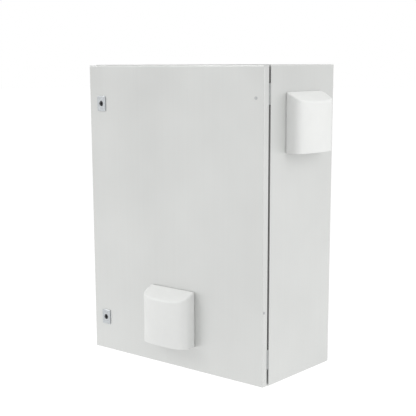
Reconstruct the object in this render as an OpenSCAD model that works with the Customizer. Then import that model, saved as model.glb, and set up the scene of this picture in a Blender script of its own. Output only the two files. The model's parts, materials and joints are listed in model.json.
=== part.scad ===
// Automatic transfer switch in a wall enclosure with a right-hung door.
// Origin: centre of the four wall fixing holes, on the outside of the back wall.
// +Z is up, +X is to the right seen from the front, and the door faces -Y.

/* [Enclosure] */
// Width of the enclosure body
body_w = 600; // [596:1:640]
// Height of the enclosure body
body_h = 800; // [790:2:860]
// Depth of the enclosure body without its door
body_d = 275; // [270:1:320]
// Thickness of the folded sheet
sheet = 1.5; // [1.2:0.1:1.6]
// Width of the rim folded in around the door opening
rim_w = 22; // [21:0.5:23]
// Height of the sealing lip that stands on the rim
lip_h = 12; // [11.5:0.1:12]

/* [Door] */
// Depth of the folded door pan
door_t = 19; // [18.8:0.1:20]
// Gap between the door pan and the rim
door_gap = 6; // [6:0.1:6.5]
// How much smaller the door is than the body on each side
door_inset = 1.5; // [1.2:0.1:2]
// Distance of the door locks from the body's left edge
lock_edge = 47; // [46:1:52]
// Distance of the upper lock from the body's top edge
lock_top = 104; // [100:1:110]
// Distance of the lower lock from the body's bottom edge
lock_foot = 95; // [92:1:110]
// Distance of each hinge's middle from the top or bottom edge
hinge_end = 70; // [66:1:80]
// Length of each hinge
hinge_l = 50; // [44:2:60]

/* [Rain hoods] */
// Width of a rain hood
hood_w = 154; // [153:1:158]
// Height of a rain hood
hood_h = 150; // [148:1:153]
// How far a rain hood stands out of its panel
hood_d = 52; // [48:1:58]
// Drop of the hood's roof from back to front
hood_drop = 24; // [20:1:32]
// Wall thickness of a hood
hood_wall = 2.5; // [2:0.1:3]
// Squareness of the hood's plan, where 2 is an ellipse
hood_power = 5; // [4:0.1:6]
// How much the hood's front bulges in plan
hood_crown = 8; // [5:0.5:10]
// Distance of the hood on the door above the bottom edge
hood_base = 66; // [62:1:70]
// Distance of the side hood's middle behind the rim
side_hood_y = 140; // [138:1:148]

/* [Equipment] */
// Distance of the mounting plate's front from the back wall's outside
plate_front = 22.5; // [21.5:0.5:24]
// Width of the transfer switch
switch_w = 300; // [300:2:310]
// Distance between neighbouring poles of the transfer switch
pole_pitch = 70; // [66:1:70]
// Height of the transfer switch shaft above the origin
switch_z = 110; // [106:1:112]
// Height of the upper rail above the origin
upper_rail_z = 290; // [286:1:294]
// Height of the lower rail, measured up from the origin
lower_rail_z = -100; // [-104:1:-96]

/* [Hidden] */
$fn = 48;

half_w = body_w / 2;
half_h = body_h / 2;
rim_y = -body_d;
door_back = rim_y - door_gap;
door_front = door_back - door_t;
door_x = half_w - door_inset;
door_z = half_h - door_inset;
lip_x = half_w - rim_w;
lip_z = half_h - rim_w;
wall_hole_x = 275;
wall_hole_z = 375;
hinge_x = half_w - 2;
hinge_y = rim_y - 3;
knuckle_r = 2.6;
pin_r = 1.5;
lock_x = -half_w + lock_edge;
lock_z = [half_h - lock_top, -half_h + lock_foot];
hinge_z = half_h - hinge_end;
plate_y = -plate_front;
rail_y = plate_y - 7.5;
door_hood_z = -half_h + hood_base;
side_hood_z = half_h - hood_base - hood_h;
side_hood_mid = rim_y + side_hood_y;
vent_z = hood_h / 2;
cutout = 61.5;
flange_t = 2.5;
shaft_y = plate_y - 72.5;
pole_x = [for (i = [-1.5 : 1 : 1.5]) i * pole_pitch];
contact_angle = 40;
case_w = 32;
zinc = "#d5dadd";
steel = "#c9cbcc";
light_plastic = "#eceded";
grey_plastic = "#8d9194";
dark_plastic = "#33363a";
copper = "#c07a4a";
rubber = "#26282a";

// A box between two opposite corners.
module block(from, to) {
    translate(from)
        cube(to - from);
}

// Round bars along each axis, from one coordinate to another.
module rod_x(x0, x1, y, z, r) {
    translate([x0, y, z])
        rotate([0, 90, 0])
            cylinder(r = r, h = x1 - x0);
}

module rod_y(x, y0, y1, z, r) {
    translate([x, y0, z])
        rotate([-90, 0, 0])
            cylinder(r = r, h = y1 - y0);
}

module rod_z(x, y, z0, z1, r) {
    translate([x, y, z0])
        cylinder(r = r, h = z1 - z0);
}

// A hexagonal prism along Y.
module hex_y(x, y0, y1, z, r) {
    translate([x, y0, z])
        rotate([-90, 0, 0])
            cylinder(r = r, h = y1 - y0, $fn = 6);
}

// An upright ring of rectangular section, such as a gasket or a collar.
module frame_y(half_x, half_z, inner_x, inner_z, y0, y1) {
    difference() {
        block([-half_x, y0, -half_z], [half_x, y1, half_z]);
        block([-inner_x, y0 - 1, -inner_z], [inner_x, y1 + 1, inner_z]);
    }
}

// A side outline in Y and Z, carried along X.
module side_prism(points, x0, x1) {
    translate([x0, 0, 0])
        rotate([90, 0, 90])
            linear_extrude(x1 - x0)
                polygon(points);
}

// A plate of rounded outline, from y0 to y1.
module rounded_plate(w, h, r, y0, y1) {
    translate([0, y1, 0])
        rotate([90, 0, 0])
            linear_extrude(y1 - y0) {
                square([w - 2 * r, h], center = true);
                square([w, h - 2 * r], center = true);
                for (sx = [-1, 1], sz = [-1, 1])
                    translate([sx * (w / 2 - r), sz * (h / 2 - r)])
                        circle(r);
            }
}

// Puts a vent part on the door, or on the right-hand wall.
module on_door() {
    translate([0, door_front, door_hood_z])
        children();
}

module on_side() {
    translate([half_w, side_hood_mid, side_hood_z])
        rotate([0, 0, 90])
            children();
}

// Vent parts: the panel's outside is y = 0, outwards is -y and the hood's foot is z = 0.
function hood_outline(a, d) = [
    for (i = [0 : 40])
        let (t = 180 * i / 40, c = cos(t), s = sin(t))
        let (across = sign(c) * pow(abs(c), 2 / hood_power), out = pow(abs(s), 2 / hood_power))
        [a * across, -(d - hood_crown) * out - hood_crown * (1 - across * across)]
];

module hood_solid(a, d, h, foot) {
    intersection() {
        translate([0, 0, foot])
            linear_extrude(h - foot)
                polygon(hood_outline(a, d));
        side_prism([[1, foot], [1, h], [0, h], [-d, h - hood_drop], [-d - 1, foot]], -a, a);
    }
}

module hood() {
    depth = hood_d - flange_t;
    translate([0, -flange_t, 0])
        difference() {
            hood_solid(hood_w / 2, depth, hood_h, 0);
            translate([0, 0.5, 0])
                hood_solid(hood_w / 2 - hood_wall, depth - hood_wall, hood_h - hood_wall, -1);
        }
}

module vent_screw_spots() {
    for (sx = [-1, 1], sz = [-1, 1])
        translate([sx * 68, 0, vent_z + sz * 66])
            children();
}

module vent_cutout() {
    block([-cutout, -5, vent_z - cutout], [cutout, 5, vent_z + cutout]);
    vent_screw_spots()
        rod_y(0, -5, 5, 0, 2.2);
}

module vent_frame() {
    difference() {
        block([-hood_w / 2 + 1.5, -flange_t, 1], [hood_w / 2 - 1.5, 0, hood_h - 1.5]);
        block([-57, -5, vent_z - 57], [57, 5, vent_z + 57]);
        vent_screw_spots()
            rod_y(0, -5, 5, 0, 2.2);
    }
    translate([0, 0, vent_z]) {
        frame_y(61, 61, 58, 58, -0.5, 18);
        block([-58.5, 8.4, -2], [58.5, 10.4, 2]);
        block([-2, 8.4, -58.5], [2, 10.4, 58.5]);
    }
}

module vent_grille() {
    translate([0, 0, vent_z]) {
        frame_y(61, 61, 57, 57, -10.5, -flange_t);
        for (i = [-3 : 3])
            translate([-57.5, -7, i * 15.5])
                rotate([-40, 0, 0])
                    block([0, -4.8, -0.8], [115, 4.8, 0.8]);
    }
}

module vent_mat() {
    block([-57.7, 0, vent_z - 57.7], [57.7, 8.2, vent_z + 57.7]);
}

module vent_screws() {
    vent_screw_spots() {
        rod_y(0, -flange_t - 2, -flange_t, 0, 3.8);
        rod_y(0, -flange_t - 0.5, 6, 0, 2);
    }
}

// ---- Enclosure ----

module wall_studs() {
    for (sx = [-1, 1], sz = [-1, 1]) {
        rod_y(sx * 245, plate_y + 2.5, -sheet + 0.2, sz * 345, 7);
        rod_y(sx * 245, plate_y - 10, plate_y + 3, sz * 345, 4);
    }
}

module enclosure_shell() {
    color(steel) {
        difference() {
            block([-half_w, rim_y, -half_h], [half_w, 0, half_h]);
            block([-half_w + sheet, rim_y + sheet, -half_h + sheet],
                [half_w - sheet, -sheet, half_h - sheet]);
            block([-lip_x, rim_y - 1, -lip_z], [lip_x, rim_y + 2, lip_z]);
            for (sx = [-1, 1], sz = [-1, 1])
                rod_y(sx * wall_hole_x, -5, 1, sz * wall_hole_z, 4.5);
            on_side()
                vent_cutout();
            block([-200, -215, -half_h - 1], [200, -75, -half_h + 2]);
            gland_spots()
                rod_z(0, 0, -half_h - 1, -half_h + 5, 2.2);
        }
        frame_y(lip_x, lip_z, lip_x - sheet, lip_z - sheet, rim_y - lip_h, rim_y + sheet);
        wall_studs();
    }
}

module gland_spots() {
    for (x = [-210, -70, 70, 210], y = [-225, -65])
        translate([x, y, 0])
            children();
}

module gland_gasket() {
    color(rubber)
        difference() {
            block([-220, -235, -half_h + sheet], [220, -55, -half_h + sheet + 2]);
            block([-200, -215, -half_h], [200, -75, -half_h + 5]);
            gland_spots()
                rod_z(0, 0, -half_h, -half_h + 5, 2.2);
        }
}

module gland_plate() {
    low = -half_h + sheet + 2;
    color(zinc)
        difference() {
            block([-220, -235, low], [220, -55, low + 2]);
            gland_spots()
                rod_z(0, 0, low - 1, low + 3, 2.2);
        }
}

module gland_screws() {
    low = -half_h + sheet + 4;
    color(zinc)
        gland_spots() {
            rod_z(0, 0, low, low + 2.6, 4);
            rod_z(0, 0, -half_h + 0.3, low + 0.5, 2);
        }
}

module mounting_plate() {
    color(zinc)
        difference() {
            block([-265, plate_y, -365], [265, plate_y + 2.5, 365]);
            for (sx = [-1, 1], sz = [-1, 1])
                rod_y(sx * 245, plate_y - 1, plate_y + 4, sz * 345, 4.4);
        }
}

module plate_nuts() {
    color(zinc)
        for (sx = [-1, 1], sz = [-1, 1])
            difference() {
                union() {
                    hex_y(sx * 245, plate_y - 6.5, plate_y - 1, sz * 345, 7.4);
                    rod_y(sx * 245, plate_y - 1.5, plate_y, sz * 345, 8.5);
                }
                rod_y(sx * 245, plate_y - 8, plate_y + 1, sz * 345, 4.1);
            }
}

// ---- Hinges ----

module knuckle(z, low, high) {
    difference() {
        rod_z(hinge_x, hinge_y, z + low, z + high, knuckle_r);
        rod_z(hinge_x, hinge_y, z + low - 1, z + high + 1, pin_r + 0.05);
    }
}

module leaf_screw_spots() {
    for (sz = [-1, 1], dz = [-15, 15])
        translate([half_w - 12, 0, sz * hinge_z + dz])
            children();
}

module hinge_frame_leaves() {
    end = hinge_l / 2;
    color(zinc)
        for (sz = [-1, 1])
            difference() {
                union() {
                    block([half_w - 20, rim_y - 1.5, sz * hinge_z - end],
                        [hinge_x, rim_y, sz * hinge_z + end]);
                    rod_z(hinge_x, hinge_y, sz * hinge_z - end, sz * hinge_z + end, knuckle_r);
                }
                rod_z(hinge_x, hinge_y, sz * hinge_z - end - 1, sz * hinge_z + end + 1,
                    pin_r + 0.05);
                block([hinge_x - 4, rim_y - 8, sz * hinge_z - 9.3],
                    [hinge_x + 4, rim_y + 1, sz * hinge_z + 9.3]);
                leaf_screw_spots()
                    rod_y(0, rim_y - 3, rim_y + 1, 0, 2.2);
            }
}

module hinge_door_leaves() {
    color(zinc)
        for (sz = [-1, 1]) {
            knuckle(sz * hinge_z, -9, 9);
            difference() {
                block([door_x - 4, door_back, sz * hinge_z - 9],
                    [hinge_x, door_back + 1.3, sz * hinge_z + 9]);
                rod_z(hinge_x, hinge_y, sz * hinge_z - 10, sz * hinge_z + 10, 2);
            }
            block([door_x - 4, door_front + 3, sz * hinge_z - 9],
                [door_x - sheet, door_back + 1.3, sz * hinge_z + 9]);
        }
}

module hinge_pins() {
    end = hinge_l / 2;
    color(zinc)
        for (sz = [-1, 1]) {
            rod_z(hinge_x, hinge_y, sz * hinge_z - end, sz * hinge_z + end + 0.5, pin_r);
            rod_z(hinge_x, hinge_y, sz * hinge_z + end, sz * hinge_z + end + 1.5, 2.3);
        }
}

module hinge_screws() {
    color(zinc)
        leaf_screw_spots() {
            rod_y(0, rim_y - 3, rim_y - 1.5, 0, 3.6);
            rod_y(0, rim_y - 2, rim_y, 0, 2);
        }
}

// ---- Ventilation on the right-hand wall ----

module side_hood() {
    color(light_plastic)
        on_side()
            hood();
}

module side_hood_frame() {
    color(light_plastic)
        on_side()
            vent_frame();
}

module side_grille() {
    color(light_plastic)
        on_side()
            vent_grille();
}

module side_filter_mat() {
    color("white")
        on_side()
            vent_mat();
}

module side_hood_screws() {
    color(zinc)
        on_side()
            vent_screws();
}

module fan_frame() {
    color(dark_plastic)
        on_side()
            translate([0, 0, vent_z]) {
                difference() {
                    rounded_plate(120, 120, 6, 18, 43);
                    rod_y(0, 17, 44, 0, 57);
                }
                difference() {
                    union() {
                        rod_y(0, 36.5, 43, 0, 18);
                        block([-59, 39, -3], [59, 43, 3]);
                        block([-3, 39, -59], [3, 43, 59]);
                    }
                    rod_y(0, 36, 42, 0, 2.05);
                }
            }
}

module fan_guard() {
    color(zinc)
        on_side()
            translate([0, 0, vent_z]) {
                for (r = [16 : 10 : 56])
                    difference() {
                        rod_y(0, 43, 45, 0, r + 1);
                        rod_y(0, 42, 46, 0, r - 1);
                    }
                block([-57, 43, -1.5], [57, 44.5, 1.5]);
                block([-1.5, 43, -57], [1.5, 44.5, 57]);
            }
}

module fan_rotor() {
    color(dark_plastic)
        on_side()
            translate([0, 0, vent_z]) {
                rod_y(0, 20, 36, 0, 19);
                rod_y(0, 30, 41.5, 0, 2);
                for (a = [0 : 360 / 7 : 359])
                    rotate([0, a, 0])
                        translate([0, 28, 0])
                            rotate([0, 0, 35])
                                block([-13, -0.8, 17], [13, 0.8, 54.5]);
            }
}

// ---- Rails, ducts and bars ----

module din_rail(z, x0, x1) {
    block([x0, rail_y + 6.5, z - 13.5], [x1, plate_y, z + 13.5]);
    for (s = [-1, 1]) {
        block([x0, rail_y, z + s * 13 - 0.5], [x1, plate_y, z + s * 13 + 0.5]);
        block([x0, rail_y, z + s * 15 - 2.5], [x1, rail_y + 1, z + s * 15 + 2.5]);
    }
}

module din_rails() {
    color(zinc) {
        din_rail(upper_rail_z, -235, 210);
        din_rail(lower_rail_z, -200, 200);
    }
}

module wiring_ducts() {
    color(grey_plastic)
        for (sx = [-1, 1])
            difference() {
                block([sx * 242 - 20, plate_y - 60, -330], [sx * 242 + 20, plate_y, 180]);
                block([sx * 242 - 18.2, plate_y - 61, -331],
                    [sx * 242 + 18.2, plate_y - 1.8, 181]);
            }
}

module duct_covers() {
    color(grey_plastic)
        for (sx = [-1, 1])
            difference() {
                block([sx * 242 - 22, plate_y - 62, -330], [sx * 242 + 22, plate_y - 54, 180]);
                block([sx * 242 - 20.2, plate_y - 60, -331],
                    [sx * 242 + 20.2, plate_y - 53, 181]);
            }
}

neutral_z = -215;
earth_z = -280;
neutral_y = plate_y - 38;
earth_y = plate_y - 14;
bar_holes = [-100, -60, -20, 20, 60, 100];

module bar(y, z) {
    difference() {
        block([-140, y, z - 12.5], [140, y + 6, z + 12.5]);
        for (x = bar_holes)
            rod_y(x, y - 1, y + 7, z, 4.2);
    }
}

module neutral_bar() {
    color(copper)
        bar(neutral_y, neutral_z);
}

module bar_insulators() {
    color("#8a3b2a")
        for (sx = [-1, 1]) {
            rod_y(sx * 128, neutral_y + 6, neutral_y + 16, neutral_z, 9);
            rod_y(sx * 128, neutral_y + 14, neutral_y + 30, neutral_z, 12);
            rod_y(sx * 128, neutral_y + 28, plate_y, neutral_z, 9);
        }
}

module earth_bar() {
    color(copper) {
        bar(earth_y, earth_z);
        for (sx = [-1, 1])
            block([sx * 130 - 10, earth_y + 5, earth_z - 12.5],
                [sx * 130 + 10, plate_y, earth_z + 12.5]);
    }
}

// ---- Transfer switch ----

switch_top = switch_z + 70;
switch_foot = switch_z - 70;
source_1_y = shaft_y - 20;
source_2_y = shaft_y + 20;

module terminal_slots(side, y) {
    for (x = pole_x)
        block([x - 12, y - 3, side > 0 ? switch_z : switch_foot - 1],
            [x + 12, y + 3, side > 0 ? switch_top + 1 : switch_z]);
}

module switch_body(y0, y1) {
    difference() {
        block([-switch_w / 2, y0, switch_foot], [switch_w / 2, y1, switch_top]);
        rod_x(-switch_w / 2 + 10, switch_w / 2 - 10, shaft_y, switch_z, 33);
        rod_x(-switch_w / 2 + 3, switch_w / 2 - 3, shaft_y, switch_z, 6.3);
        terminal_slots(1, source_1_y);
        terminal_slots(1, source_2_y);
        terminal_slots(-1, shaft_y);
    }
}

module switch_base() {
    color(dark_plastic)
        switch_body(shaft_y, plate_y);
}

module switch_cover() {
    color(grey_plastic)
        switch_body(shaft_y - 37.5, shaft_y);
}

module operator_case() {
    front = shaft_y - 87.5;
    color(dark_plastic)
        difference() {
            block([-60, front, switch_z - 60], [60, shaft_y - 37.5, switch_z + 60]);
            block([-56, front + 4, switch_z - 56], [56, shaft_y - 41.5, switch_z + 56]);
            rod_y(0, front - 1, front + 5, switch_z, 8.3);
        }
}

module operating_handle() {
    front = shaft_y - 87.5;
    color("#b3261e") {
        rod_y(0, front - 14, front - 1, switch_z, 17);
        rod_y(0, front - 2, front + 40, switch_z, 8);
        translate([0, 0, switch_z])
            rotate([0, -contact_angle, 0]) {
                block([-8, front - 14, 0], [8, front - 4, 78]);
                rod_y(0, front - 14, front - 4, 78, 8);
            }
    }
}

module contact_shaft() {
    color(light_plastic) {
        rod_x(-switch_w / 2 + 4, switch_w / 2 - 4, shaft_y, switch_z, 6);
        rod_x(-switch_w / 2 + 12, switch_w / 2 - 12, shaft_y, switch_z, 9);
        for (x = pole_x)
            translate([x, shaft_y, switch_z])
                rotate([contact_angle, 0, 0])
                    block([-11, -2.5, 5], [11, 2.5, 28.8]);
    }
}

// Copper bars through the slots, each with its bolt hole outside the case.
module terminal_bars(y, low, high, bolt_z) {
    color(copper)
        for (x = pole_x)
            difference() {
                block([x - 12, y - 3, low], [x + 12, y + 3, high]);
                rod_y(x, y - 4, y + 4, bolt_z, 4.2);
            }
}

module source_1_terminals() {
    terminal_bars(source_1_y, switch_z + 24.5, switch_top + 26, switch_top + 13);
}

module source_2_terminals() {
    terminal_bars(source_2_y, switch_z + 24.5, switch_top + 26, switch_top + 13);
}

module load_terminals() {
    terminal_bars(shaft_y, switch_foot - 26, switch_z - 9.5, switch_foot - 13);
}

module bar_bolt(x, y, z) {
    hex_y(x, y - 5, y, z, 7.2);
    rod_y(x, y - 0.5, y + 14, z, 4);
    hex_y(x, y + 6, y + 12, z, 7.2);
}

module busbar_bolts() {
    color(zinc) {
        for (x = pole_x) {
            bar_bolt(x, source_1_y - 3, switch_top + 13);
            bar_bolt(x, source_2_y - 3, switch_top + 13);
            bar_bolt(x, shaft_y - 3, switch_foot - 13);
        }
        for (x = bar_holes) {
            bar_bolt(x, neutral_y, neutral_z);
            hex_y(x, earth_y - 5, earth_y, earth_z, 7.2);
            rod_y(x, earth_y - 0.5, earth_y + 12, earth_z, 4);
        }
    }
}

module phase_barriers() {
    color("#5a5d60")
        for (i = [-1 : 1]) {
            block([i * pole_pitch - 1, shaft_y - 35, switch_top],
                [i * pole_pitch + 1, shaft_y + 45, switch_top + 34]);
            block([i * pole_pitch - 1, shaft_y - 35, switch_foot - 34],
                [i * pole_pitch + 1, shaft_y + 45, switch_foot]);
        }
}

// ---- Control devices on the rails ----

control_front = rail_y - 65;
button_z = upper_rail_z - 22;
mode_x = 0;
test_x = 30;

module controller_case() {
    color(dark_plastic)
        difference() {
            block([-45, control_front, upper_rail_z - 45], [105, rail_y, upper_rail_z + 45]);
            block([-32, control_front - 1, upper_rail_z - 2],
                [48, control_front + 2, upper_rail_z + 36]);
            rod_y(mode_x, control_front - 1, control_front + 10, button_z, 6.3);
            rod_y(test_x, control_front - 1, control_front + 10, button_z, 6.3);
        }
}

module controller_window() {
    color("#9fb7a2")
        block([-31.8, control_front + 0.5, upper_rail_z - 1.8],
            [47.8, control_front + 2, upper_rail_z + 35.8]);
}

module push_button(x) {
    rod_y(x, control_front - 3.5, control_front + 6, button_z, 6);
}

module mode_button() {
    color("#2e7d4f")
        push_button(mode_x);
}

module test_button() {
    color("#c9a227")
        push_button(test_x);
}

breaker_d = 68;
mains_x = -212;
generator_x = -172;
toggle_y = rail_y - 58;

module breaker_case(x) {
    z = upper_rail_z;
    nose = rail_y - breaker_d;
    color(light_plastic)
        difference() {
            side_prism([
                [rail_y, z - 42], [rail_y, z + 42], [rail_y - 44, z + 42],
                [rail_y - 44, z + 23], [nose, z + 23], [nose, z - 23],
                [rail_y - 44, z - 23], [rail_y - 44, z - 42]
            ], x, x + case_w);
            block([x + 5, nose - 1, z - 14], [x + case_w - 5, rail_y - 50, z + 14]);
        }
}

module breaker_toggle(x) {
    color(dark_plastic)
        translate([0, toggle_y, upper_rail_z]) {
            rod_x(x + 5.5, x + case_w - 5.5, 0, 0, 7);
            rotate([-35, 0, 0])
                block([x + 7, -20, -2.5], [x + case_w - 7, 0, 2.5]);
        }
}

module mains_breaker_case() {
    breaker_case(mains_x);
}

module mains_breaker_toggle() {
    breaker_toggle(mains_x);
}

module generator_breaker_case() {
    breaker_case(generator_x);
}

module generator_breaker_toggle() {
    breaker_toggle(generator_x);
}

module relays() {
    color("#4d6f8f")
        for (x = [-125, -95])
            side_prism([
                [rail_y, upper_rail_z - 38], [rail_y, upper_rail_z + 38],
                [rail_y - 30, upper_rail_z + 38], [rail_y - 30, upper_rail_z + 22],
                [rail_y - 62, upper_rail_z + 22], [rail_y - 62, upper_rail_z - 22],
                [rail_y - 30, upper_rail_z - 22], [rail_y - 30, upper_rail_z - 38]
            ], x, x + 26);
}

module terminal_blocks() {
    color("#b9bcbe")
        for (i = [0 : 15])
            side_prism([
                [rail_y, lower_rail_z - 24], [rail_y, lower_rail_z + 24],
                [rail_y - 22, lower_rail_z + 24], [rail_y - 36, lower_rail_z + 12],
                [rail_y - 36, lower_rail_z - 12], [rail_y - 22, lower_rail_z - 24]
            ], -80 + i * 10, -80 + i * 10 + 9.6);
}

// ---- Door ----

module door_panel() {
    color(steel)
        difference() {
            block([-door_x, door_front, -door_z], [door_x, door_back, door_z]);
            block([-door_x + sheet, door_front + sheet, -door_z + sheet],
                [door_x - sheet, door_back + 1, door_z - sheet]);
            for (z = lock_z)
                rod_y(lock_x, door_front - 1, door_front + 3, z, 11.1);
            on_door()
                vent_cutout();
            rod_y(plug_x, door_front - 1, door_front + 3, plug_z, 3.05);
            rod_x(door_x - 3, door_x + 1, edge_plug_y, edge_plug_z, 3.05);
        }
}

plug_x = half_w - 26;
plug_z = half_h - 79;
edge_plug_y = door_front + 6;
edge_plug_z = -half_h + 194;

module blind_plugs() {
    color(grey_plastic) {
        rod_y(plug_x, door_front - 1.2, door_front, plug_z, 4);
        rod_y(plug_x, door_front - 0.5, door_front + sheet, plug_z, 3);
        rod_x(door_x, door_x + 1, edge_plug_y, edge_plug_z, 3.6);
        rod_x(door_x - sheet, door_x + 0.5, edge_plug_y, edge_plug_z, 3);
    }
}

module door_gasket() {
    lip_front = rim_y - lip_h;
    color(rubber)
        frame_y(lip_x + 8, lip_z + 8, lip_x - 8, lip_z - 8, door_front + sheet, lip_front - 0.2);
}

module door_stiffeners() {
    low = door_front + sheet;
    color(zinc)
        for (sx = [-1, 1])
            difference() {
                block([sx * 215 - 14, low, -350], [sx * 215 + 14, low + 13, 350]);
                block([sx * 215 - 12.5, low - 1, -351], [sx * 215 + 12.5, low + 11.5, 351]);
            }
}

module lock_housings() {
    color("#c8d2da")
        for (z = lock_z)
            translate([lock_x, 0, z])
                difference() {
                    union() {
                        rounded_plate(30, 41, 4, door_front - 3, door_front);
                        rod_y(0, door_front - 1, rim_y - 1, 0, 11);
                    }
                    rod_y(0, door_front - 5, rim_y + 5, 0, core_r + 0.1);
                }
}

module lock_nuts() {
    back = door_front + sheet;
    color(zinc)
        for (z = lock_z)
            difference() {
                hex_y(lock_x, back, back + 5, z, 15);
                rod_y(lock_x, back - 1, back + 6, z, 11.1);
            }
}

// The cam hangs straight down when the door is free, and turns behind the rim to hold it.
cam_y = rim_y + 4;
core_r = 7;

module lock_core(z) {
    color(dark_plastic)
        translate([lock_x, 0, z]) {
            difference() {
                rod_y(0, door_front - 2.5, rim_y - 1, 0, core_r);
                block([-1.6, door_front - 3, -5.5], [1.6, door_front + 4, 5.5]);
                rod_y(0, door_front - 3, door_front + 4, 0, 3);
            }
            rod_y(0, rim_y - 2, cam_y, 0, 6.5);
            block([-4, cam_y - 1, -4], [4, cam_y + 4, 4]);
            hex_y(0, cam_y + 3, cam_y + 7, 0, 6.5);
        }
}

module lock_cam(z) {
    color(zinc)
        translate([lock_x, 0, z])
            difference() {
                union() {
                    block([-9, cam_y, -28], [9, cam_y + 3, 2]);
                    rod_y(0, cam_y, cam_y + 3, 0, 10);
                    rod_y(0, cam_y, cam_y + 3, -28, 9);
                }
                block([-4.1, cam_y - 1, -4.1], [4.1, cam_y + 4, 4.1]);
            }
}

module upper_lock_core() {
    lock_core(lock_z[0]);
}

module upper_lock_cam() {
    lock_cam(lock_z[0]);
}

module lower_lock_core() {
    lock_core(lock_z[1]);
}

module lower_lock_cam() {
    lock_cam(lock_z[1]);
}

module door_hood() {
    color(light_plastic)
        on_door()
            hood();
}

module door_hood_frame() {
    color(light_plastic)
        on_door()
            vent_frame();
}

module door_grille() {
    color(light_plastic)
        on_door()
            vent_grille();
}

module door_filter_mat() {
    color("white")
        on_door()
            vent_mat();
}

module door_hood_screws() {
    color(zinc)
        on_door()
            vent_screws();
}

module document_pocket() {
    low = door_front + sheet;
    color(grey_plastic)
        difference() {
            block([-115, low, 0], [115, low + 22, 190]);
            block([-113, low + 2, 2], [113, low + 20, 191]);
            block([-60, low + 15, 140], [60, low + 25, 191]);
        }
}

enclosure_shell();
gland_plate();
gland_gasket();
gland_screws();
mounting_plate();
plate_nuts();
hinge_frame_leaves();
hinge_pins();
hinge_screws();
side_hood();
side_hood_frame();
side_grille();
side_filter_mat();
side_hood_screws();
fan_frame();
fan_guard();
fan_rotor();
din_rails();
wiring_ducts();
duct_covers();
switch_base();
switch_cover();
operator_case();
operating_handle();
contact_shaft();
source_1_terminals();
source_2_terminals();
load_terminals();
busbar_bolts();
phase_barriers();
controller_case();
controller_window();
mode_button();
test_button();
mains_breaker_case();
mains_breaker_toggle();
generator_breaker_case();
generator_breaker_toggle();
relays();
terminal_blocks();
bar_insulators();
neutral_bar();
earth_bar();
door_panel();
door_gasket();
door_stiffeners();
hinge_door_leaves();
lock_housings();
lock_nuts();
upper_lock_core();
upper_lock_cam();
lower_lock_core();
lower_lock_cam();
door_hood();
door_hood_frame();
door_grille();
door_filter_mat();
door_hood_screws();
document_pocket();
blind_plugs();
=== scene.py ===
import json
import math

import bmesh
import bpy
from mathutils import Matrix, Vector


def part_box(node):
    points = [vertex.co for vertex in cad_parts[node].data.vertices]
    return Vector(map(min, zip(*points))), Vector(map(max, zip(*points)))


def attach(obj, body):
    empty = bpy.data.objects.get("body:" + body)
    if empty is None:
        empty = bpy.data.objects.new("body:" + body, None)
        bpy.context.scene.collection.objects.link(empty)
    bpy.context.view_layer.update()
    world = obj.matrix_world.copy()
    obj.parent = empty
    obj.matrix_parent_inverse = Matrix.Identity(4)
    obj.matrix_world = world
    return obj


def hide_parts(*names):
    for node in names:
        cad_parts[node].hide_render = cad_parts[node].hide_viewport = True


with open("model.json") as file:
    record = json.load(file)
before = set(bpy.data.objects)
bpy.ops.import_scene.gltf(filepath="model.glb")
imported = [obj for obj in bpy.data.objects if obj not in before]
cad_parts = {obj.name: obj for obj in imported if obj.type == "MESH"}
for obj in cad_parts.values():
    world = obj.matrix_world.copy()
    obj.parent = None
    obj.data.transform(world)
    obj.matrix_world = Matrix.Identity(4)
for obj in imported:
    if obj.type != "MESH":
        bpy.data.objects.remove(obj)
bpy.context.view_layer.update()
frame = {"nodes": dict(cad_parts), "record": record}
mm = 0.001
print("frame loaded")


# node trees: sums on sockets, and one method for every node

class Wire:  # one output socket that can be used in sums
    def __init__(self, tree, socket):
        self.tree = tree
        self.socket = socket

    def mathWith(self, operation, first, second):
        return self.tree.add("ShaderNodeMath", {"operation": operation}, {0: first, 1: second})

    def __add__(self, other):
        return self.mathWith("ADD", self, other)

    def __radd__(self, other):
        return self.mathWith("ADD", other, self)

    def __sub__(self, other):
        return self.mathWith("SUBTRACT", self, other)

    def __rsub__(self, other):
        return self.mathWith("SUBTRACT", other, self)

    def __mul__(self, other):
        return self.mathWith("MULTIPLY", self, other)

    def __rmul__(self, other):
        return self.mathWith("MULTIPLY", other, self)

    def __truediv__(self, other):
        return self.mathWith("DIVIDE", self, other)


class Tree:
    def __init__(self, nodeTree):
        self.nodeTree = nodeTree

    def add(self, kind, settings=None, sockets=None, out=0):
        node = self.nodeTree.nodes.new(kind)
        for name, value in (settings or {}).items():
            if name == "stops":
                self.setStops(node.color_ramp, value)
            else:
                setattr(node, name, value)
        for key, value in (sockets or {}).items():
            self.feed(node.inputs[key], value)
        return Wire(self, node.outputs[out])

    def feed(self, socket, value):
        if isinstance(value, Wire):
            self.nodeTree.links.new(value.socket, socket)
        elif isinstance(value, (list, tuple)) and value and isinstance(value[0], Wire):
            for wire in reversed(value):
                self.nodeTree.links.new(wire.socket, socket)
        else:
            socket.default_value = value

    def setStops(self, ramp, stops):
        while len(ramp.elements) < len(stops):
            ramp.elements.new(0.5)
        for element, (place, colour) in zip(ramp.elements, stops):
            element.position = place
            element.color = colour


# finishes

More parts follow.
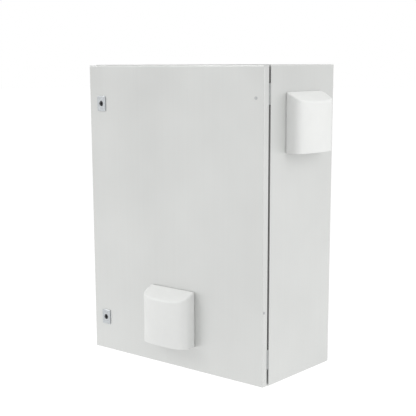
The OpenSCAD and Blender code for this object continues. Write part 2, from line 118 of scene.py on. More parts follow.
class Finish(Tree):
    def __init__(self, name, fixed):
        self.material = bpy.data.materials.new(name)
        self.material.use_nodes = True
        super().__init__(self.material.node_tree)
        self.shader = self.nodeTree.nodes["Principled BSDF"]
        for socket, value in fixed.items():
            self.shader.inputs[socket].default_value = value
        self.place = self.add("ShaderNodeTexCoord", out="Object")

    def stretched(self, x, y, z):
        return self.add("ShaderNodeMapping", {}, {"Vector": self.place, "Scale": (x, y, z)})

    def noise(self, place, scale, detail=3.0, rough=0.5):
        return self.add("ShaderNodeTexNoise", {}, {
            "Vector": place, "Scale": scale, "Detail": detail, "Roughness": rough})

    def between(self, wire, low, high):  # spreads 0.3..0.7 of a noise over low..high
        return self.add("ShaderNodeMapRange", {"clamp": True}, {
            0: wire, 1: 0.3, 2: 0.7, 3: low, 4: high})

    def colours(self, wire, dark, light):
        return self.add("ShaderNodeValToRGB", {"stops": [
            (0.3, (*dark, 1)), (0.7, (*light, 1))]}, {0: wire})

    def bump(self, height, distance, strength):
        return self.add("ShaderNodeBump", {}, {
            "Height": height, "Distance": distance, "Strength": strength})

    def set(self, **wires):
        names = {"colour": "Base Color", "rough": "Roughness", "normal": "Normal"}
        for key, value in wires.items():
            self.feed(self.shader.inputs[names[key]], value)
        return self.material


def lighter(colour, factor):
    return tuple(min(1.0, part * factor) for part in colour)


brushed = {
    "metallic": 0.6, "anisotropic": 0.35,
    "acrossScale": 2600.0, "alongScale": 12.0, "streakScale": 0.12,
    "cloudScale": 3.2, "smudgeScale": 34.0, "smudgeFrom": 0.66, "smudgeTo": 0.78,
    "grainShare": 0.15, "streakShare": 0.12, "cloudShare": 0.73,
    "darkest": 0.94, "lightest": 1.05, "rough": (0.33, 0.41), "smudgeRough": 0.05,
    "grainDepth": 0.00004,
}


def brushedSteel(name, tone, axis):
    # long fine scratches along one axis, over broad soft clouds left by the belt
    finish = Finish(name, {
        "Metallic": brushed["metallic"], "Anisotropic": brushed["anisotropic"]})
    scale = [brushed["acrossScale"]] * 3
    scale[axis] = brushed["alongScale"]
    broad = [part * brushed["streakScale"] for part in scale]
    grain = finish.noise(finish.stretched(*scale), 1.0, 4.0, 0.6)
    streak = finish.noise(finish.stretched(*broad), 1.0, 3.0)
    cloud = finish.noise(finish.place, brushed["cloudScale"], 3.0)
    smudge = finish.noise(finish.place, brushed["smudgeScale"], 2.0)
    mark = finish.add("ShaderNodeMapRange", {"clamp": True}, {
        0: smudge, 1: brushed["smudgeFrom"], 2: brushed["smudgeTo"],
        3: 0.0, 4: brushed["smudgeRough"]})
    mix = (grain * brushed["grainShare"] + streak * brushed["streakShare"]
           + cloud * brushed["cloudShare"])
    return finish.set(
        colour=finish.colours(
            mix, lighter(tone, brushed["darkest"]), lighter(tone, brushed["lightest"])),
        rough=finish.between(mix, *brushed["rough"]) + mark,
        normal=finish.bump(grain, brushed["grainDepth"], 0.5))


def platedSteel(name, tone, low, high, spangle):
    finish = Finish(name, {"Metallic": 1.0})
    cells = finish.add(
        "ShaderNodeTexVoronoi", {}, {"Vector": finish.place, "Scale": spangle}, "Color")
    shade = finish.add("ShaderNodeSeparateColor", {}, {0: cells})
    film = finish.noise(finish.place, 160.0, 4.0)
    mix = shade * 0.5 + film * 0.5
    return finish.set(
        colour=finish.colours(mix, lighter(tone, 0.86), lighter(tone, 1.06)),
        rough=finish.between(mix, low, high),
        normal=finish.bump(film, 0.00008, 0.4))


def moulded(name, tone, rough, skinSize=0.0006):
    # spark-eroded mould skin, with faint flow clouds and handling marks
    finish = Finish(name, {"Specular IOR Level": 0.5})
    skin = finish.noise(finish.place, 1 / skinSize, 3.0)
    flow = finish.noise(finish.place, 9.0, 3.0)
    wear = finish.noise(finish.place, 55.0, 4.0)
    return finish.set(
        colour=finish.colours(flow * 0.7 + wear * 0.3, lighter(tone, 0.97), lighter(tone, 1.03)),
        rough=finish.between(wear * 0.6 + flow * 0.4, rough - 0.05, rough + 0.07),
        normal=finish.bump(skin, 0.00003, 0.6))


def foamRubber(name, tone):
    finish = Finish(name, {"Specular IOR Level": 0.3})
    pore = finish.add("ShaderNodeTexVoronoi", {}, {"Vector": finish.place, "Scale": 1400.0})
    cloud = finish.noise(finish.place, 40.0, 3.0)
    return finish.set(
        colour=finish.colours(cloud, lighter(tone, 0.8), lighter(tone, 1.3)),
        rough=finish.between(cloud, 0.75, 0.92),
        normal=finish.bump(pore, 0.0003, 0.8))


def fleece(name, tone):
    finish = Finish(name, {"Sheen Weight": 0.3, "Specular IOR Level": 0.2})
    threads = finish.noise(finish.stretched(900.0, 260.0, 900.0), 1.0, 5.0, 0.7)
    loft = finish.noise(finish.place, 90.0, 3.0)
    return finish.set(
        colour=finish.colours(threads * 0.5 + loft * 0.5, lighter(tone, 0.85), tone),
        rough=finish.between(loft, 0.85, 0.98),
        normal=finish.bump(threads, 0.0006, 0.8))


def rolledCopper(name, tone):
    finish = Finish(name, {"Metallic": 1.0})
    roll = finish.noise(finish.stretched(12.0, 1500.0, 1500.0), 1.0, 3.0)
    stain = finish.noise(finish.place, 45.0, 4.0)
    return finish.set(
        colour=finish.colours(roll * 0.3 + stain * 0.7, lighter(tone, 0.7), lighter(tone, 1.08)),
        rough=finish.between(roll * 0.4 + stain * 0.6, 0.22, 0.42),
        normal=finish.bump(roll, 0.00004, 0.5))


def clearWindow(name, tone):
    finish = Finish(name, {"Alpha": 0.55, "IOR": 1.49})
    haze = finish.noise(finish.place, 60.0, 3.0)
    return finish.set(
        colour=finish.colours(haze, lighter(tone, 0.9), tone),
        rough=finish.between(haze, 0.05, 0.14),
        normal=finish.bump(haze, 0.00002, 0.3))


finishes = {
    "body_steel": brushedSteel("brushedBody", (0.645, 0.653, 0.641), 2),
    "door_steel": brushedSteel("brushedDoor", (0.645, 0.653, 0.641), 2),
    "zinc": platedSteel("zincPlate", (0.68, 0.7, 0.72), 0.25, 0.4, 700.0),
    "hinge_steel": platedSteel("hingeSteel", (0.42, 0.43, 0.43), 0.35, 0.5, 700.0),
    "galvanised": platedSteel("galvanisedSheet", (0.62, 0.64, 0.66), 0.3, 0.5, 90.0),
    "lock_chrome": platedSteel("satinChrome", (0.555, 0.578, 0.595), 0.34, 0.44, 500.0),
    "hood_plastic": moulded("hoodMoulding", (0.69, 0.697, 0.686), 0.5, 0.0009),
    "vent_plastic": moulded("ventMoulding", (0.7, 0.705, 0.7), 0.5),
    "filter_fleece": fleece("filterFleece", (0.86, 0.86, 0.84)),
    "dark_plastic": moulded("charcoalMoulding", (0.035, 0.037, 0.04), 0.45),
    "grey_plastic": moulded("greyMoulding", (0.43, 0.44, 0.445), 0.5),
    "light_plastic": moulded("lightMoulding", (0.72, 0.72, 0.69), 0.42),
    "seal_rubber": foamRubber("sealRubber", (0.018, 0.018, 0.02)),
    "busbar_copper": rolledCopper("busbarCopper", (0.78, 0.4, 0.24)),
    "insulator_resin": moulded("castResin", (0.32, 0.07, 0.04), 0.25, 0.002),
    "handle_red": moulded("redMoulding", (0.55, 0.025, 0.02), 0.3),
    "display_window": clearWindow("displayWindow", (0.3, 0.38, 0.33)),
    "button_green": moulded("greenButton", (0.02, 0.26, 0.08), 0.28),
    "button_yellow": moulded("yellowButton", (0.7, 0.43, 0.03), 0.28),
    "relay_blue": moulded("relayMoulding", (0.09, 0.16, 0.27), 0.35),
    "terminal_grey": moulded("terminalMoulding", (0.42, 0.43, 0.42), 0.45),
}
print("finishes made")


# meshes

slotOf = {part["node"]: part["material_slot"] for part in frame["record"]["subparts"]}
bodyOf = {n: body for body, names in frame["record"]["behaviour"]["bodies"].items() for n in names}


def newPiece(name, mesh):
    piece = bpy.data.objects.new(name, mesh)
    bpy.context.scene.collection.objects.link(piece)
    return piece


def standFor(piece, *nodes):  # the piece joins the first node's body where it stands, and the nodes are hidden
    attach(piece, bodyOf[nodes[0]])
    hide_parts(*nodes)


breaks = {"segments": 2, "angle": 28}  # how every sharp edge is broken


def cleanCopy(node):  # the node's own shape with its points joined and its flat faces whole
    mesh = bmesh.new()
    mesh.from_mesh(frame["nodes"][node].data)
    bmesh.ops.remove_doubles(mesh, verts=mesh.verts, dist=1e-6)
    bmesh.ops.dissolve_limit(
        mesh, angle_limit=math.radians(1), verts=mesh.verts, edges=mesh.edges)
    return mesh


def weighNormals(piece):
    for polygon in piece.data.polygons:
        polygon.use_smooth = True
    weigh = piece.modifiers.new("weigh", "WEIGHTED_NORMAL")
    weigh.keep_sharp = True


def dress(piece, width):  # breaks every sharp edge and shades the rest smooth
    bevel = piece.modifiers.new("edges", "BEVEL")
    bevel.width = width
    bevel.segments = breaks["segments"]
    bevel.limit_method = "ANGLE"
    bevel.angle_limit = math.radians(breaks["angle"])
    bevel.use_clamp_overlap = True
    weighNormals(piece)


def rounded(name, node, width, bend=None, isBent=None):
    # bend is the larger radius of the edges that isBent picks
    mesh = cleanCopy(node)
    if bend:
        chosen = [edge for edge in mesh.edges if isBent(edge)]
        bmesh.ops.bevel(
            mesh, geom=chosen, offset=bend, segments=5, profile=0.5, affect="EDGES")
    data = bpy.data.meshes.new(name)
    mesh.to_mesh(data)
    mesh.free()
    data.materials.append(finishes[slotOf[node]])
    piece = newPiece(name, data)
    dress(piece, width)
    standFor(piece, node)


# what repeats is grown by geometry nodes

def geoTree(name):
    group = bpy.data.node_groups.new(name, "GeometryNodeTree")
    group.interface.new_socket("Geometry", in_out="INPUT", socket_type="NodeSocketGeometry")
    group.interface.new_socket("Geometry", in_out="OUTPUT", socket_type="NodeSocketGeometry")
    tree = Tree(group)
    tree.entry = group.nodes.new("NodeGroupInput")
    tree.start = Wire(tree, tree.entry.outputs[0])
    return tree


def geoInputs(tree, **kinds):  # named inputs of the tree, given back in order
    for name, kind in kinds.items():
        tree.nodeTree.interface.new_socket(name, in_out="INPUT", socket_type="NodeSocket" + kind)
    return [Wire(tree, tree.entry.outputs[name]) for name in kinds]


def geoEnd(tree, geometry, paint):  # instances made real, the finish set
    real = tree.add("GeometryNodeRealizeInstances", {}, {0: geometry})
    painted = tree.add("GeometryNodeSetMaterial", {}, {"Geometry": real, "Material": paint})
    out = tree.nodeTree.nodes.new("NodeGroupOutput")
    tree.feed(out.inputs[0], painted)
    return tree


def grown(name, tree, start=None, **values):  # runs the tree on a start mesh and keeps the result
    base = newPiece(name + "Seed", start or bpy.data.meshes.new(name + "Seed"))
    modifier = base.modifiers.new("grow", "NODES")
    modifier.node_group = tree.nodeTree
    for item in tree.nodeTree.interface.items_tree:
        if item.in_out == "INPUT" and item.name in values:
            modifier[item.identifier] = values[item.name]
    bpy.context.view_layer.update()
    seen = base.evaluated_get(bpy.context.evaluated_depsgraph_get())
    data = bpy.data.meshes.new_from_object(seen)
    data.name = name
    bpy.data.objects.remove(base)
    for value in values.values():
        if isinstance(value, bpy.types.Object):
            bpy.data.objects.remove(value)
    return newPiece(name, data)


def box(tree, size, place):
    cube = tree.add("GeometryNodeMeshCube", {}, {"Size": size}, "Mesh")
    return tree.add("GeometryNodeTransform", {}, {"Geometry": cube, "Translation": place})


def vector(tree, x=0.0, y=0.0, z=0.0):
    return tree.add("ShaderNodeCombineXYZ", {}, {0: x, 1: y, 2: z})


def makeRowTree():  # an item repeated along a line, beside the start mesh
    tree = geoTree("rowOfItems")
    item, count, first, step, paint = geoInputs(
        tree, Item="Object", Count="Int", First="Vector", Step="Vector", Finish="Material")
    line = tree.add("GeometryNodeMeshLine", {}, {
        "Count": count, "Start Location": first, "Offset": step})
    shape = tree.add("GeometryNodeObjectInfo", {}, {"Object": item}, "Geometry")
    row = tree.add("GeometryNodeInstanceOnPoints", {}, {"Points": line, "Instance": shape})
    return geoEnd(tree, tree.add("GeometryNodeJoinGeometry", {}, {0: [row, tree.start]}), paint)


def makeHoleTree():  # round holes along Y through the start mesh, in a line
    tree = geoTree("rowOfHoles")
    count, first, step, radius, paint = geoInputs(
        tree, Count="Int", First="Vector", Step="Vector", Radius="Float", Finish="Material")
    line = tree.add("GeometryNodeMeshLine", {}, {
        "Count": count, "Start Location": first, "Offset": step})
    drill = tree.add("GeometryNodeMeshCylinder", {}, {
        "Vertices": 24, "Radius": radius, "Depth": 10 * mm}, "Mesh")
    drills = tree.add("GeometryNodeInstanceOnPoints", {}, {
        "Points": line, "Instance": drill, "Rotation": (math.pi / 2, 0, 0)})
    real = tree.add("GeometryNodeRealizeInstances", {}, {0: drills})
    cut = tree.add("GeometryNodeMeshBoolean", {"operation": "DIFFERENCE"}, {
        "Mesh 1": tree.start, "Mesh 2": real}, "Mesh")
    return geoEnd(tree, cut, paint)


recess = {"long": 1.15, "narrow": 0.3}  # a screw's cross recess, as shares of the head's radius


def makeScrewTree():  # a domed head with a cross recess on every point, and its shank
    tree = geoTree("crossHeadScrews")
    head, tall, thread, length, turn, paint = geoInputs(
        tree, Head="Float", Tall="Float", Thread="Float", Length="Float", Turn="Vector",
        Finish="Material")
    ball = tree.add("GeometryNodeMeshUVSphere", {}, {
        "Segments": 32, "Rings": 16, "Radius": 1.0}, "Mesh")
    dome = tree.add("GeometryNodeTransform", {}, {
        "Geometry": ball, "Scale": vector(tree, head, head, tall)})
    wide = head * recess["long"]
    narrow = head * recess["narrow"]
    cuts = [
        box(tree, vector(tree, head * 3, head * 3, tall * 2), vector(tree, 0, 0, tall * -1)),
        box(tree, vector(tree, wide, narrow, tall), vector(tree, 0, 0, tall)),
        box(tree, vector(tree, narrow, wide, tall), vector(tree, 0, 0, tall))]
    cross = tree.add("GeometryNodeMeshBoolean", {"operation": "DIFFERENCE"}, {
        "Mesh 1": dome, "Mesh 2": cuts}, "Mesh")
    rod = tree.add("GeometryNodeMeshCylinder", {}, {
        "Vertices": 16, "Radius": thread, "Depth": length}, "Mesh")
    shank = tree.add("GeometryNodeTransform", {}, {
        "Geometry": rod, "Translation": vector(tree, 0, 0, length * -0.5)})
    screw = tree.add("GeometryNodeJoinGeometry", {}, {0: [cross, shank]})
    placed = tree.add("GeometryNodeInstanceOnPoints", {}, {
        "Points": tree.start, "Instance": screw, "Rotation": turn})
    return geoEnd(tree, placed, paint)


def makeGuardTree():  # wire rings round an X axis, with two crossed wires behind them
    tree = geoTree("wireGuard")
    middle, count, first, step, wire, paint = geoInputs(
        tree, Middle="Vector", Count="Int", First="Float", Step="Float", Wire="Float",
        Finish="Material")
    index = tree.add("GeometryNodeInputIndex")
    reach = first + index * step
    ring = tree.add("GeometryNodeCurvePrimitiveCircle", {}, {
        "Resolution": 72, "Radius": 1.0}, "Curve")
    line = tree.add("GeometryNodeMeshLine", {}, {"Count": count, "Offset": (0, 0, 0)})
    rings = tree.add("GeometryNodeInstanceOnPoints", {}, {
        "Points": line, "Instance": ring, "Scale": vector(tree, reach, reach, reach)})
    curves = tree.add("GeometryNodeRealizeInstances", {}, {0: rings})
    section = tree.add("GeometryNodeCurvePrimitiveCircle", {}, {
        "Resolution": 8, "Radius": wire}, "Curve")
    wires = tree.add("GeometryNodeCurveToMesh", {}, {"Curve": curves, "Profile Curve": section})
    rod = tree.add("GeometryNodeMeshCylinder", {}, {
        "Vertices": 8, "Radius": wire, "Depth": (first + step * (count - 1)) * 2}, "Mesh")
    behind = vector(tree, 0, 0, wire * 1.5)
    bars = [tree.add("GeometryNodeTransform", {}, {
        "Geometry": rod, "Translation": behind, "Rotation": turn})
        for turn in ((math.pi / 2, 0, 0), (0, math.pi / 2, 0))]
    flat = tree.add("GeometryNodeJoinGeometry", {}, {0: [wires, *bars]})
    upright = tree.add("GeometryNodeTransform", {}, {
        "Geometry": flat, "Translation": middle, "Rotation": (0, -math.pi / 2, 0)})
    return geoEnd(tree, upright, paint)


def makeWheelTree():  # an item repeated round an X axis, beside the start mesh
    tree = geoTree("wheelOfItems")
    item, count, middle, paint = geoInputs(
        tree, Item="Object", Count="Int", Middle="Vector", Finish="Material")
    line = tree.add("GeometryNodeMeshLine", {}, {
        "Count": count, "Start Location": middle, "Offset": (0, 0, 0)})
    shape = tree.add("GeometryNodeObjectInfo", {}, {"Object": item}, "Geometry")
    index = tree.add("GeometryNodeInputIndex")
    wheel = tree.add("GeometryNodeInstanceOnPoints", {}, {
        "Points": line, "Instance": shape,
        "Rotation": vector(tree, index * (2 * math.pi) / count, 0, 0)})
    return geoEnd(tree, tree.add("GeometryNodeJoinGeometry", {}, {0: [wheel, tree.start]}), paint)


rowTree = makeRowTree()
holeTree = makeHoleTree()
screwTree = makeScrewTree()
guardTree = makeGuardTree()
wheelTree = makeWheelTree()
print("node trees made")


def millimetres(*parts):
    return [part * mm for part in parts]


def boxMesh(name, *boxes):  # blocks between corners, in millimetres
    mesh = bmesh.new()
    for low, high in boxes:
        for vert in bmesh.ops.create_cube(mesh, size=1.0)["verts"]:
            vert.co = Vector([
                mm * (a + (b - a) * (c + 0.5)) for a, b, c in zip(low, high, vert.co)])
    data = bpy.data.meshes.new(name)
    mesh.to_mesh(data)
    mesh.free()
    return data


def pointMesh(name, points):
    data = bpy.data.meshes.new(name)
    data.from_pydata([millimetres(*point) for point in points], [], [])
    return data


# rain hoods

hood = {
    "power": 5.0, "bulge": 8 * mm, "wall": 2.5 * mm, "drop": 24 * mm, "around": 80,
    "crease": 5 * mm, "creaseSteps": 6, "lip": 0.8 * mm, "lipSteps": 3, "lipAngle": 50,
    "fine": 720,
}


def hoodPlan(halfWidth, depth):
    # points at even distances from the right foot, round the front, to the left foot
    fine, reach = [], 2 / hood["power"]
    for i in range(hood["fine"] + 1):
        angle = math.pi * i / hood["fine"]
        across = math.copysign(abs(math.cos(angle)) ** reach, math.cos(angle))
        flat = (depth - hood["bulge"]) * math.sin(angle) ** reach
        fine.append(Vector((halfWidth * across, -(flat + hood["bulge"] * (1 - across ** 2)))))
    lengths = [0.0]
    for first, second in zip(fine, fine[1:]):
        lengths.append(lengths[-1] + (second - first).length)
    points, at = [], 0
    for i in range(hood["around"] + 1):
        goal = lengths[-1] * i / hood["around"]
        while at < len(fine) - 2 and lengths[at + 1] < goal:
            at += 1
        share = (goal - lengths[at]) / (lengths[at + 1] - lengths[at])
        points.append(fine[at].lerp(fine[at + 1], share))
    return points


def hoodMesh(halfWidth, depth, height):
    # rings climb the wall and curl over the crease onto the sloping roof
    mesh = bmesh.new()
    plan = hoodPlan(halfWidth, depth)
    last = len(plan) - 1
    inward = []
    for i in range(last + 1):
        along = (plan[min(i + 1, last)] - plan[max(i - 1, 0)]).normalized()
        inward.append(Vector((along.y, -along.x)))
    inward[0], inward[last] = Vector((-1, 0)), Vector((1, 0))  # the feet stay against the panel
    rings = [[mesh.verts.new((p.x, p.y, 0)) for p in plan]]
    for k in range(hood["creaseSteps"] + 1):
        turn = math.pi / 2 * k / hood["creaseSteps"]
        ring = []
        for p, n in zip(plan, inward):
            q = p + n * hood["crease"] * (1 - math.cos(turn))
            roof = height + q.y / depth * hood["drop"]
            ring.append(mesh.verts.new((q.x, q.y, roof - hood["crease"] * (1 - math.sin(turn)))))
        rings.append(ring)
    for low, high in zip(rings, rings[1:]):
        for i in range(last):
            mesh.faces.new((low[i], high[i], high[i + 1], low[i + 1]))
    top = rings[-1]
    for i in range(last // 2):
        strip = [top[i], top[last - i], top[last - i - 1], top[i + 1]]
        mesh.faces.new(strip if i < last // 2 - 1 else strip[:3])
    return mesh


def makeHood(name, node, turn):
    low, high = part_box(node)
    size = high - low
    if turn:
        mesh = hoodMesh(size.y / 2, size.x, size.z)
        foot = Vector((low.x, (low.y + high.y) / 2, low.z))
    else:
        mesh = hoodMesh(size.x / 2, size.y, size.z)
        foot = Vector(((low.x + high.x) / 2, high.y, low.z))
    bmesh.ops.transform(
        mesh, matrix=Matrix.Translation(foot) @ Matrix.Rotation(turn, 4, "Z"), verts=mesh.verts)
    data = bpy.data.meshes.new(name)
    mesh.to_mesh(data)
    mesh.free()
    data.materials.append(finishes["hood_plastic"])
    piece = newPiece(name, data)
    wall = piece.modifiers.new("wall", "SOLIDIFY")
    wall.thickness = hood["wall"]
    wall.offset = -1
    lip = piece.modifiers.new("lip", "BEVEL")
    lip.width = hood["lip"]
    lip.segments = hood["lipSteps"]
    lip.limit_method = "ANGLE"
    lip.angle_limit = math.radians(hood["lipAngle"])
    weighNormals(piece)
    standFor(piece, node)


makeHood("doorHood", "door_hood", 0)
makeHood("sideHood", "side_hood", math.pi / 2)
print("hoods made")


# steel work

bends = {
    "edge": 0.3 * mm, "door": 2.4 * mm, "body": 2.2 * mm, "near": 0.0001, "shortest": 0.02,
    "throughDepth": 0.01,
}


def onBoxEdge(node):  # gives a test for the edges that lie on the node's outer box
    low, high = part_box(node)

    def test(edge):
        a, b = edge.verts[0].co, edge.verts[1].co
        sides = 0
        for axis in range(3):
            for bound in (low[axis], high[axis]):
                if max(abs(a[axis] - bound), abs(b[axis] - bound)) < bends["near"]:
                    sides += 1
        return sides == 2 and edge.calc_length() > bends["shortest"]
    return test


def makeSteelWork():
    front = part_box("door_panel")[0].y
    onDoor = onBoxEdge("door_panel")

    def doorFold(edge):  # the front edges and the corners, not the open back of the pan
        a, b = edge.verts[0].co.y, edge.verts[1].co.y
        return onDoor(edge) and (
            min(a, b) < front + bends["near"] or abs(a - b) > bends["throughDepth"])
    rounded("doorPan", "door_panel", bends["edge"], bends["door"], doorFold)
    rounded(
        "enclosureBody", "enclosure_shell", bends["edge"], bends["body"],
        onBoxEdge("enclosure_shell"))


makeSteelWork()
print("steel work made")


# ventilation

vent = {  # in millimetres and degrees; depths start one flange beyond the node's face
    "rim": 61, "hole": 57, "reach": 57.5, "flange": 2.5, "frameBack": 10.5,
    "slats": 13, "pitch": 8.6, "slatTilt": 42, "slatDepth": 8.5, "slatThick": 1.3,
    "slatMiddle": 6.5,
    "screws": {"Head": 3.8 * mm, "Tall": 1.9 * mm, "Thread": 2 * mm, "Length": 6 * mm},
}


def makeGrille(name, node, side):
    # a frame with tilted slats; drawn facing -Y about its middle, then turned onto its wall
    rim, hole, near, far = vent["rim"], vent["hole"], -vent["flange"], -vent["frameBack"]
    frameMesh = boxMesh(
        name + "Frame",
        ((-rim, far, -rim), (-hole, near, rim)), ((hole, far, -rim), (rim, near, rim)),
        ((-hole, far, -rim), (hole, near, -hole)), ((-hole, far, hole), (hole, near, rim)))
    reach, half = vent["reach"], (vent["slats"] - 1) / 2 * vent["pitch"]
    slat = newPiece(name + "Slat", boxMesh(name + "Slat", (
        (-reach, -vent["slatDepth"] / 2, -vent["slatThick"] / 2),
        (reach, vent["slatDepth"] / 2, vent["slatThick"] / 2))))
    slat.data.transform(Matrix.Rotation(math.radians(-vent["slatTilt"]), 4, "X"))
    piece = grown(
        name, rowTree, frameMesh, Item=slat, Count=vent["slats"],
        First=millimetres(0, -vent["slatMiddle"], -half), Step=millimetres(0, 0, vent["pitch"]),
        Finish=finishes["vent_plastic"])
    low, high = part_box(node)
    middle = (low + high) / 2
    turn = math.pi / 2 if side else 0
    if side:
        foot = Vector((low.x - vent["flange"] * mm, middle.y, middle.z))
    else:
        foot = Vector((middle.x, high.y + vent["flange"] * mm, middle.z))
    piece.data.transform(Matrix.Translation(foot) @ Matrix.Rotation(turn, 4, "Z"))
    dress(piece, 0.3 * mm)
    standFor(piece, node)


def makeVentScrews(name, node, side):
    low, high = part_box(node)
    head, length, flange = vent["screws"]["Head"], vent["screws"]["Length"], vent["flange"] * mm
    across = 1 if side else 0
    seat = low.x + length + flange if side else high.y - length - flange
    spots = []
    for a in (low[across] + head, high[across] - head):
        for z in (low.z + head, high.z - head):
            spots.append((seat, a, z) if side else (a, seat, z))
    seed = bpy.data.meshes.new(name + "Spots")
    seed.from_pydata(spots, [], [])
    turn = (0, math.pi / 2, 0) if side else (math.pi / 2, 0, 0)
    piece = grown(name, screwTree, seed, Turn=turn, Finish=finishes["zinc"], **{
        **vent["screws"], "Length": length + flange})
    weighNormals(piece)
    standFor(piece, node)


makeGrille("doorGrille", "door_grille", False)
makeGrille("sideGrille", "side_grille", True)
makeVentScrews("doorHoodScrews", "door_hood_screws", False)
makeVentScrews("sideHoodScrews", "side_hood_screws", True)


# fan

fan = {  # in millimetres and degrees
    "blades": 7, "root": 17.0, "tip": 54.3, "chord": 30.0, "rootPitch": 48, "tipPitch": 26,
    "rootChord": 0.62, "chordGain": 0.38, "sweep": 0.12, "rows": 10, "columns": 8,
    "camber": 2.2, "thick": 1.4, "hub": 19.0, "hubDepth": 16.0,
    "shaft": 1.9, "shaftLength": 10.0, "shaftMiddle": 6, "guardInset": 1,
    "guard": {"Count": 7, "First": 13 * mm, "Step": 7 * mm, "Wire": 0.9 * mm},
}


def bladeMesh(name):  # a twisted, cambered blade standing along +Z from an X axis
    mesh = bmesh.new()
    rows, columns = fan["rows"], fan["columns"]
    grid = []
    for i in range(rows + 1):
        share = i / rows
        radius = fan["root"] + (fan["tip"] - fan["root"]) * share
        pitch = math.radians(fan["rootPitch"] + (fan["tipPitch"] - fan["rootPitch"]) * share)
        chord = fan["chord"] * (fan["rootChord"] + fan["chordGain"] * share)
        row = []
        for j in range(columns + 1):
            along = (j / columns - 0.5) * chord
            bow = fan["camber"] * (1 - (2 * j / columns - 1) ** 2)
            x = along * math.sin(pitch) + bow * math.cos(pitch)
            swing = (along * math.cos(pitch) - bow * math.sin(pitch)) / radius
            swing += fan["sweep"] * share
            row.append(mesh.verts.new(millimetres(
                x, -radius * math.sin(swing), radius * math.cos(swing))))
        grid.append(row)
    for low, high in zip(grid, grid[1:]):
        for j in range(columns):
            mesh.faces.new((low[j], low[j + 1], high[j + 1], high[j]))
    bmesh.ops.solidify(mesh, geom=mesh.faces[:], thickness=fan["thick"] * mm)
    data = bpy.data.meshes.new(name)
    mesh.to_mesh(data)
    mesh.free()
    return data


def makeFan():
    low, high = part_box("fan_rotor")
    middle = sum(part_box("fan_frame"), Vector()) / 2  # the axis; a seven-bladed box is off it
    hub = bmesh.new()
    quarter = Matrix.Rotation(math.pi / 2, 4, "Y")
    mouth = high.x - fan["hubDepth"] / 2 * mm
    tail = low.x + fan["shaftMiddle"] * mm
    for x, radius, depth in ((mouth, fan["hub"], fan["hubDepth"]),
                             (tail, fan["shaft"], fan["shaftLength"])):
        bmesh.ops.create_cone(
            hub, cap_ends=True, segments=48, radius1=radius * mm, radius2=radius * mm,
            depth=depth * mm, matrix=Matrix.Translation((x, middle.y, middle.z)) @ quarter)
    data = bpy.data.meshes.new("fanHub")
    hub.to_mesh(data)
    hub.free()
    blade = newPiece("fanBlade", bladeMesh("fanBlade"))
    rotor = grown(
        "fanRotor", wheelTree, data, Item=blade, Count=fan["blades"],
        Middle=(mouth, middle.y, middle.z), Finish=finishes["dark_plastic"])
    dress(rotor, 0.4 * mm)
    standFor(rotor, "fan_rotor")
    low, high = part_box("fan_guard")
    inside = high.x - fan["guardInset"] * mm
    guard = grown(
        "fanGuard", guardTree, Middle=(inside, (low.y + high.y) / 2, (low.z + high.z) / 2),
        Finish=finishes["zinc"], **fan["guard"])
    weighNormals(guard)
    standFor(guard, "fan_guard")


makeFan()
print("ventilation made")


# wiring ducts

duct = {  # in millimetres
    "width": 40, "wall": 1.8, "base": 12.0, "height": 60.0,
    "finger": 7.5, "pitch": 12.0, "count": 42, "firstFinger": 2, "sunk": 0.01,
}


def makeDucts():  # a slotted channel on each side, grown one after the other
    low, high = (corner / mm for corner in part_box("wiring_ducts"))
    wide, wall, base = duct["width"], duct["wall"], duct["base"]
    rise = duct["height"] - base
    start = None
    for x0, x1 in ((low.x, low.x + wide), (high.x - wide, high.x)):
        channel = boxMesh(
            "ductChannel",
            ((x0, high.y - wall, low.z), (x1, high.y, high.z)),
            ((x0, high.y - base, low.z), (x0 + wall, high.y - wall, high.z)),
            ((x1 - wall, high.y - base, low.z), (x1, high.y - wall, high.z)))
        pair = newPiece("fingerPair", boxMesh(
            "fingerPair",
            ((x0, -rise, 0), (x0 + wall, duct["sunk"], duct["finger"])),
            ((x1 - wall, -rise, 0), (x1, duct["sunk"], duct["finger"]))))
        made = grown(
            "wiringDucts", rowTree, channel, Item=pair, Count=duct["count"],
            First=millimetres(0, high.y - base, low.z + duct["firstFinger"]),
            Step=millimetres(0, 0, duct["pitch"]), Finish=finishes["grey_plastic"])
        if start is None:
            start = made
        else:
            both = bmesh.new()
            both.from_mesh(start.data)
            both.from_mesh(made.data)
            both.to_mesh(start.data)
            both.free()
            bpy.data.objects.remove(made)
    dress(start, 0.3 * mm)
    standFor(start, "wiring_ducts")


makeDucts()


# screws: a set on a node of its own stands for it, the others are added to their body

